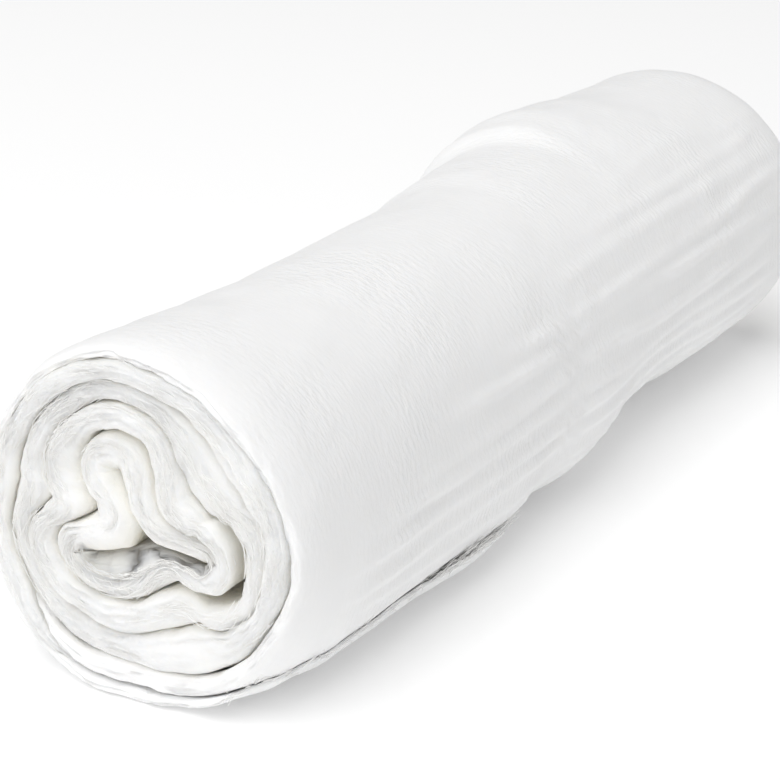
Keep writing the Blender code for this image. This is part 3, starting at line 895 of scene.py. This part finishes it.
def outer_turn():
    """The outermost turn with the loose end, one sheet of gauze."""
    rounded = [(angle, 0.0) for angle in EDGE_ANGLES]
    inner_rows = int(STRIP_WIDTH / OUTER_STEP)
    middle = [(90.0, share) for share in np.linspace(0.0, 1.0, inner_rows + 1)[1:-1]]
    rows = np.array(rounded + middle + [(angle, 1.0) for angle, _ in reversed(rounded)])
    mesh = cloth_grid("outer_turn", OUTER_COLUMNS, len(rows) - 1)
    sheet_x, sheet_y, outside = grid_of(mesh)
    turning, share = rows[np.rint(sheet_y * (len(rows) - 1)).astype(int)].T
    end_angle = cut_edge_angle(share)
    angle = OUTER_START + (end_angle - OUTER_START) * sheet_x
    stepping = smooth((angle - SEAM) / STEP_OUT_ANGLE)
    around = strip_length - WEDGE + np.radians(angle - OUTER_START) * ROLL_RADIUS
    wedge = 1.0 - np.clip((around - strip_length + WEDGE) / WEDGE, 1.0 - WEDGE_THINNEST, 1.0)
    thickness = outer_thickness(angle) * (1.0 - wedge)
    softness = EDGE_ROUNDING + (OUTER_EDGE_ROUNDING - EDGE_ROUNDING) * stepping
    level = (2.0 * outside - 1.0) * np.sin(np.radians(turning))

    ends = (share > 0.5).astype(int)
    full = softness * thickness
    turned = full * (1.0 - np.cos(np.radians(turning))) + ply_tufts(around, level, thickness, turning, ends)
    drawn_in = WEDGE_DRAWN_IN * smooth((wedge - WEDGE_DRAWN_FROM) / WEDGE_DRAWN_OVER)
    forward = EDGE_FORWARD * smooth((angle - LOOSE_ROOT + EDGE_FORWARD_BEFORE) / EDGE_FORWARD_OVER)
    edge_turn = 4.0 + stepping - forward
    near = edge_depth(around, edge_turn, 0) + drawn_in + np.where(ends == 0, turned, full)
    far = edge_depth(around, edge_turn, 1) + drawn_in + np.where(ends == 1, turned, full)
    along = (near + (STRIP_WIDTH - near - far) * share) / STRIP_WIDTH

    place = outer_place(angle, along)
    travel = unit(outer_place(angle + 0.2, along) - outer_place(angle - 0.2, along))
    outward = np.stack([travel[..., 1], -travel[..., 0]], -1)
    from_cut = (end_angle - angle) * math.radians(1.0) * ROLL_RADIUS
    thick = thickness * np.sin(np.radians(turning)) * np.interp(from_cut, CUT_EDGE_FROM, CUT_EDGE_SHARE)
    out_by = (outside - 0.5) * thick - 0.5 * wedge * TURN_THICKNESS[4]
    wrinkled = wrinkle_height(angle, along)
    place = place + outward * (out_by / ROLL_RADIUS)[..., None]
    place = place + direction(angle) * (stepping * wrinkled / ROLL_RADIUS)[..., None]
    # Painted shade: the valleys between the wrinkles get a darker colour through the attribute deep.
    valley = 1.0 - np.clip(wrinkled / VALLEY_BELOW, 0.0, 1.0)
    ridged = bell(angle, VALLEY_ANGLE, VALLEY_SPREAD) * smooth((along - VALLEY_FROM) / VALLEY_OVER)
    shape_cloth(mesh, in_space(along, place), around, along * STRIP_WIDTH, VALLEY_PAINTED_SHADE * valley * ridged)
    turn = bpy.data.objects.new("outer_turn", mesh)
    bpy.context.scene.collection.objects.link(turn)
    mesh.materials.append(
        gauze_cloth(
            "gauze_of_the_outside",
            relief=0.03,
            crinkle=1.5,
            glow=0.30,
            glow_reach=0.0006,
            # hollows is painted shade in the low spots of the bump; crests is the cloth's own white.
            hollows=(0.955, 0.955, 0.955),
            crests=(0.985, 0.985, 0.985),
            # deep_in is painted shade in the valleys between the wrinkles.
            deep_in=(0.870, 0.870, 0.868),
        )
    )
    return turn


outside_turn = outer_turn()
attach(outside_turn, "root")
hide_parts("gauze_roll", "loose_end")

# Stray threads: fine cotton fibres that stand off the woven edges at both ends, and the frayed threads of the
# cut edge of the loose end. They are part of the same cloth.
EDGE_THREADS = 1500
FAR_EDGE_THREADS = EDGE_THREADS // 3
FRAYED_THREADS = 340
THREAD_RADIUS = 0.000030
THREAD_POINTS = 6

# Fibres along the woven edges: their length, how far across the cloth they start and slant, how far they
# stand off it and bend, each from the least to the most.
FIBRE_LENGTH = (0.0008, 0.0026)
FIBRE_ACROSS = (-0.85, 0.85)
FIBRE_SLANT = (-0.25, 0.25)
FIBRE_BEND = (-0.00025, 0.00010)
FIBRE_PROUD = (-0.00022, 0.00002)

# Frayed threads: where they are along the roll, with a thick bunch of them near the middle of the loose
# end, how long they are, which layer of the cloth they come from, and how they curl.
FRAYED_ALONG = (0.01, 0.43)
FRAYED_ENDS = (0.01, 0.395)
FRAYED_BUNCH = (0.30, 0.040)
FRAYED_LENGTH = (0.0005, 0.0024)
FRAYED_LAYER = (-0.00050, 0.00025)
FRAYED_ROOT = 1.5
FRAYED_CURL = 0.0010
FRAYED_LIFT = 0.0003


def edge_threads(count, end, seed):
    """Lines of fibres that lie along the soft edges of the wound turns at one end of the roll."""
    chance = np.random.default_rng(seed)
    row = chance.uniform(WINDING[0][0] + 0.5, WINDING[-1][0] - 2.0, count)[:, None]
    length = chance.uniform(*FIBRE_LENGTH, count)[:, None]
    across = chance.uniform(*FIBRE_ACROSS, count)[:, None]
    across = across + chance.uniform(*FIBRE_SLANT, (count, 1)) * np.linspace(-1, 1, THREAD_POINTS)
    step = np.linspace(-0.5, 0.5, THREAD_POINTS)[None, :]
    at_end = row * 0.0 + 0.01
    stride = np.linalg.norm(turn_place(row + 0.5, at_end) - turn_place(row - 0.5, at_end), axis=-1)
    rows = row + step * length / ROLL_RADIUS / np.maximum(stride, 0.02)
    turns = winding_turn(rows)
    thickness = np.interp(turns, range(5), TURN_THICKNESS)
    bent = chance.uniform(*FIBRE_BEND, (count, 1)) * (2.0 * np.abs(step)) ** 2
    proud = chance.uniform(*FIBRE_PROUD, (count, 1))
    base = np.interp(turns, range(len(TURN_EDGE)), TURN_EDGE) + EDGE_DEPTH
    rounding = EDGE_ROUNDING * thickness * (1.0 - np.sqrt(1.0 - np.clip(across, -0.98, 0.98) ** 2))
    along = (base + rounding + proud + bent) / STRIP_WIDTH
    along = along if end == 0 else 1.0 - along
    place = turn_place(rows, along)
    travel = unit(turn_place(rows + LOOK_AHEAD, along) - turn_place(rows - LOOK_AHEAD, along))
    outward = np.stack([travel[..., 1], -travel[..., 0]], -1)
    place = place + outward * (0.5 * across * thickness / ROLL_RADIUS)[..., None]
    return in_space(along, place)


def frayed_threads(count, seed):
    """Lines of the cut threads that stick out of the cut edge of the loose end."""
    chance = np.random.default_rng(seed)
    spread = chance.uniform(*FRAYED_ALONG, count // 2)
    bunch = chance.normal(*FRAYED_BUNCH, count - count // 2)
    share = np.clip(np.concatenate([spread, bunch]), *FRAYED_ENDS)[:, None]
    reach = eased(LOOSE_END, 1, share) * (LOOSE_LEAN_FROM + LOOSE_LEAN)
    length = chance.uniform(*FRAYED_LENGTH, (count, 1))
    step = np.linspace(0.0, 1.0, THREAD_POINTS)[None, :]
    lean = chance.uniform(-1.0, 1.0, (count, 1))
    swing = chance.uniform(-1.0, 1.0, (count, 1))
    onwards = step * np.degrees(length / ROLL_RADIUS) * (1.0 - 0.6 * np.abs(lean))
    angle = LOOSE_ROOT + reach - FRAYED_ROOT + onwards
    along = share + step * lean * length / STRIP_WIDTH + FRAYED_CURL / STRIP_WIDTH * swing * step**2
    place = outer_place(np.minimum(angle, LOOSE_ROOT + reach), along)
    turned = np.radians(np.maximum(angle - LOOSE_ROOT - reach, 0.0))
    across = place[..., 0] * np.cos(turned) - place[..., 1] * np.sin(turned)
    up = place[..., 0] * np.sin(turned) + place[..., 1] * np.cos(turned)
    layer = chance.uniform(*FRAYED_LAYER, (count, 1))
    off = 1.0 + (layer + FRAYED_LIFT * step**2 * np.abs(swing)) / ROLL_RADIUS
    return in_space(along, np.stack([across * off, up * off], -1))


def thread_piece(name, lines):
    """All the lines as one piece of thin round threads."""
    curve = bpy.data.curves.new(name, "CURVE")
    curve.dimensions = "3D"
    curve.bevel_depth = THREAD_RADIUS
    curve.bevel_resolution = 0
    curve.use_fill_caps = True
    for line in lines:
        spline = curve.splines.new("POLY")
        spline.points.add(len(line) - 1)
        weighted = np.column_stack([line, np.ones(len(line))])
        spline.points.foreach_set("co", weighted.astype(np.float32).ravel())
    holder = bpy.data.objects.new(name, curve)
    bpy.context.scene.collection.objects.link(holder)
    shaped = holder.evaluated_get(bpy.context.evaluated_depsgraph_get())
    threads_mesh = bpy.data.meshes.new_from_object(shaped)
    bpy.data.objects.remove(holder)
    threads = bpy.data.objects.new(name, threads_mesh)
    bpy.context.scene.collection.objects.link(threads)
    cotton = bpy.data.materials.new("cotton_thread")
    cotton.use_nodes = True
    shader = cotton.node_tree.nodes["Principled BSDF"]
    shader.inputs["Base Color"].default_value = (0.97, 0.965, 0.95, 1.0)
    shader.inputs["Roughness"].default_value = 0.8
    shader.inputs["Sheen Weight"].default_value = 0.3
    threads_mesh.materials.clear()
    threads_mesh.materials.append(cotton)
    return threads


near_threads = edge_threads(EDGE_THREADS, end=0, seed=83)
far_threads = edge_threads(FAR_EDGE_THREADS, end=1, seed=85)
cut_threads = frayed_threads(FRAYED_THREADS, seed=87)
thread_lines = np.concatenate([near_threads, far_threads, cut_threads])
threads = thread_piece("stray_threads", thread_lines)
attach(threads, "root")

# The floor: a plain matt white studio sheet that the roll lies on. It isn't part of the roll.
FLOOR_SIZE = 3.0
FLOOR_DROP = 0.00004
bm = bmesh.new()
bmesh.ops.create_grid(bm, x_segments=1, y_segments=1, size=FLOOR_SIZE / 2)
bmesh.ops.translate(bm, verts=bm.verts, vec=(0.0, 0.0, -FLOOR_DROP))
floor_mesh = bpy.data.meshes.new("floor")
bm.to_mesh(floor_mesh)
bm.free()
floor = bpy.data.objects.new("floor", floor_mesh)
bpy.context.scene.collection.objects.link(floor)
floor_white = bpy.data.materials.new("studio_white")
floor_white.use_nodes = True
shader = floor_white.node_tree.nodes["Principled BSDF"]
shader.inputs["Base Color"].default_value = (0.97, 0.97, 0.97, 1.0)
shader.inputs["Roughness"].default_value = 1.0
shader.inputs["Specular IOR Level"].default_value = 0.0
shader.inputs["Emission Color"].default_value = (1.0, 1.0, 1.0, 1.0)
shader.inputs["Emission Strength"].default_value = 0.13
floor_mesh.materials.append(floor_white)

# The light: a bright white room, one wide soft lamp high up on the near end's side, and a small weak one
# low in front of that end, which lights the hollow in its middle.
studio = bpy.data.worlds.new("studio")
bpy.context.scene.world = studio
studio.use_nodes = True
studio.node_tree.nodes["Background"].inputs["Color"].default_value = (1.0, 1.0, 1.0, 1.0)
studio.node_tree.nodes["Background"].inputs["Strength"].default_value = 0.335


def lamp(name, place, size, power):
    """A square soft lamp that faces the roll."""
    light = bpy.data.lights.new(name, "AREA")
    light.size = size
    light.energy = power
    holder = bpy.data.objects.new(name, light)
    bpy.context.scene.collection.objects.link(holder)
    holder.location = place
    holder.rotation_mode = "QUATERNION"
    holder.rotation_quaternion = (Vector((0.0, 0.0, 0.01)) - Vector(place)).to_track_quat("-Z", "Y")


lamp("soft_top", (-0.52, 0.00, 1.08), size=1.10, power=11.5)
lamp("soft_near", (-0.75, -0.06, 0.20), size=0.50, power=0.55)

# The camera: in front of the near end and somewhat above it, on the side of the loose end, in a square
# picture.
CAMERA_PLACE = Vector((-0.1694, -0.0943, 0.0882))
CAMERA_LOOKS = Vector((0.794, 0.477, -0.378))
FOCUS_PIXELS = 2200.0
PICTURE_PIXELS = 780.0
view = bpy.data.cameras.new("camera")
view.sensor_width = 36.0
view.lens = view.sensor_width * FOCUS_PIXELS / PICTURE_PIXELS
view.clip_start = 0.005
view.clip_end = 10.0
camera = bpy.data.objects.new("camera", view)
bpy.context.scene.collection.objects.link(camera)
camera.location = CAMERA_PLACE
camera.rotation_mode = "QUATERNION"
camera.rotation_quaternion = CAMERA_LOOKS.to_track_quat("-Z", "Y")
bpy.context.scene.camera = camera
bpy.context.scene.view_settings.view_transform = "Standard"
